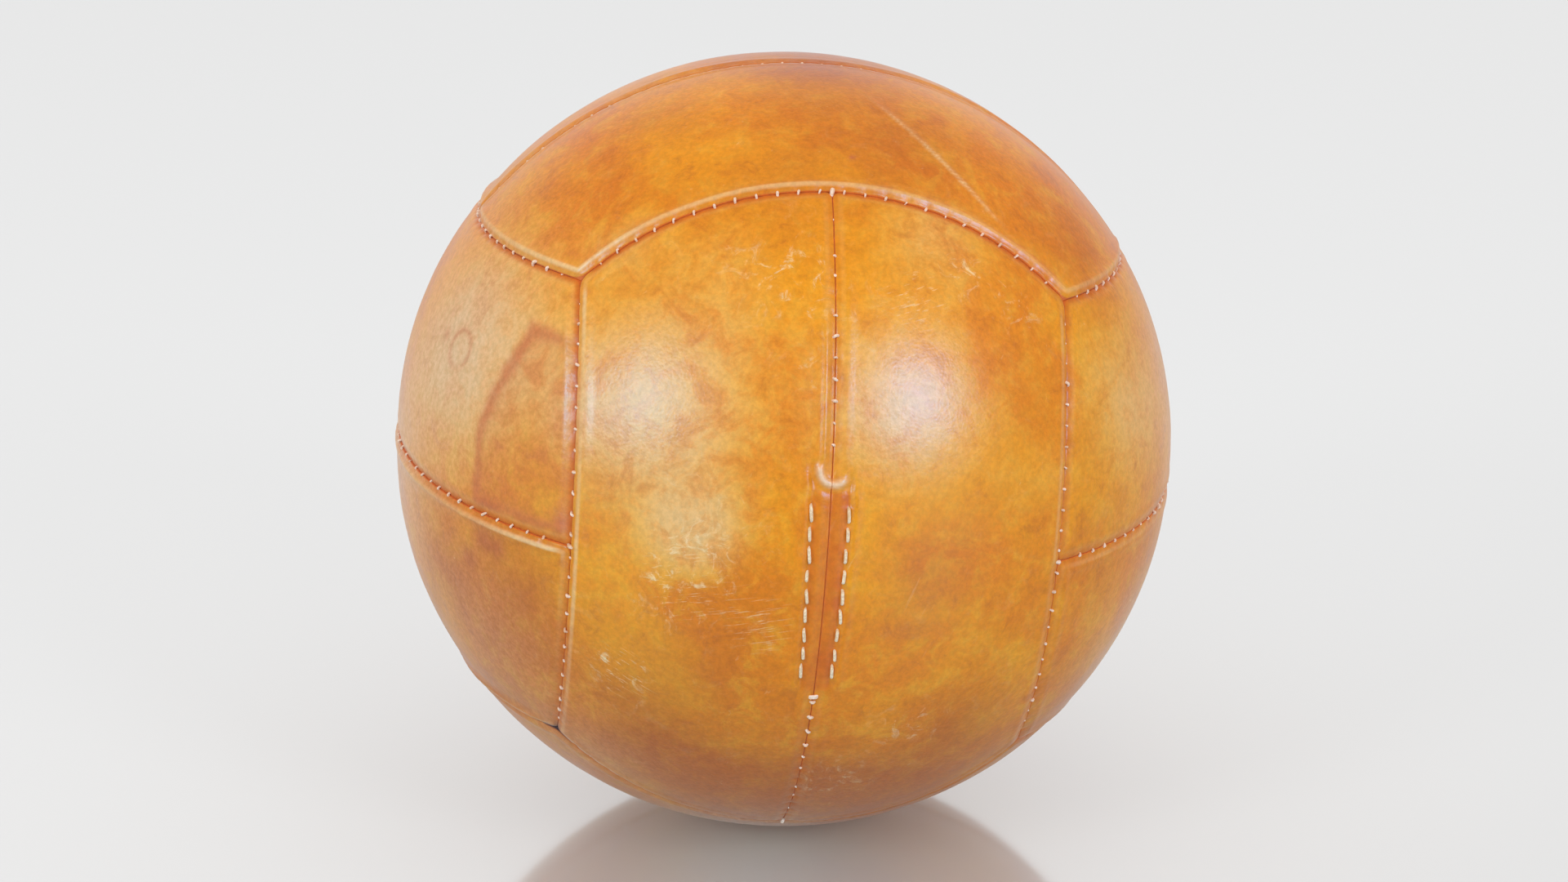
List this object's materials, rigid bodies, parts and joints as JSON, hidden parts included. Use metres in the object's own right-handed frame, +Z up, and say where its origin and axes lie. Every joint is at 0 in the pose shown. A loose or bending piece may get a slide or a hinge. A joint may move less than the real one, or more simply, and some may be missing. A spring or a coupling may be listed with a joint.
{
  "type": "medicine ball",
  "caption": "Stuffed leather medicine ball sewn from canvas-lined panels in a cube pattern, with a laced and stitched filling slit, wadding and a packed hair core.",
  "frame": {"origin": "the centre of the ball, on all three axes of its panel pattern", "axes": "+Z up; the face with the filling slit looks along -Y and its slit runs along Z; the middle seams of the side faces run along Y and those of the top and bottom faces along X"},
  "size_m": [0.28, 0.2806, 0.28],
  "materials": {
    "leather": "worn, waxed vegetable-tanned hide, semi-gloss",
    "leather_strip": "undyed strap leather, matt",
    "canvas": "unbleached cotton canvas",
    "thread": "waxed linen thread",
    "felt": "grey felted wadding",
    "hair": "packed animal hair and rag"
  },
  "bodies": {
    "root": {"panel_front_left": "leather", "panel_front_right": "leather", "panel_back_left": "leather", "panel_back_right": "leather", "panel_left_upper": "leather", "panel_left_lower": "leather", "panel_right_upper": "leather", "panel_right_lower": "leather", "panel_top_front": "leather", "panel_top_back": "leather", "panel_bottom_front": "leather", "panel_bottom_back": "leather", "lining_front_left": "canvas", "lining_front_right": "canvas", "lining_back_left": "canvas", "lining_back_right": "canvas", "lining_left_upper": "canvas", "lining_left_lower": "canvas", "lining_right_upper": "canvas", "lining_right_lower": "canvas", "lining_top_front": "canvas", "lining_top_back": "canvas", "lining_bottom_front": "canvas", "lining_bottom_back": "canvas", "seam_thread_front_top": "thread", "seam_thread_front_bottom": "thread", "seam_thread_back_top": "thread", "seam_thread_back_bottom": "thread", "seam_thread_front_left": "thread", "seam_thread_front_right": "thread", "seam_thread_back_left": "thread", "seam_thread_back_right": "thread", "seam_thread_left_top": "thread", "seam_thread_left_bottom": "thread", "seam_thread_right_top": "thread", "seam_thread_right_bottom": "thread", "seam_thread_back_middle": "thread", "seam_thread_left_middle": "thread", "seam_thread_right_middle": "thread", "seam_thread_top_middle": "thread", "seam_thread_bottom_middle": "thread", "seam_thread_front_middle_upper": "thread", "seam_thread_front_middle_lower": "thread", "slit_facing_left": "leather_strip", "slit_facing_right": "leather_strip", "slit_tongue": "leather_strip", "slit_stitches_left": "thread", "slit_stitches_right": "thread", "slit_end_tack": "thread", "closing_lace": "thread", "wadding_pads": "felt", "wadding_wrap": "felt", "filling_core": "hair"}
  },
  "joints": []
}
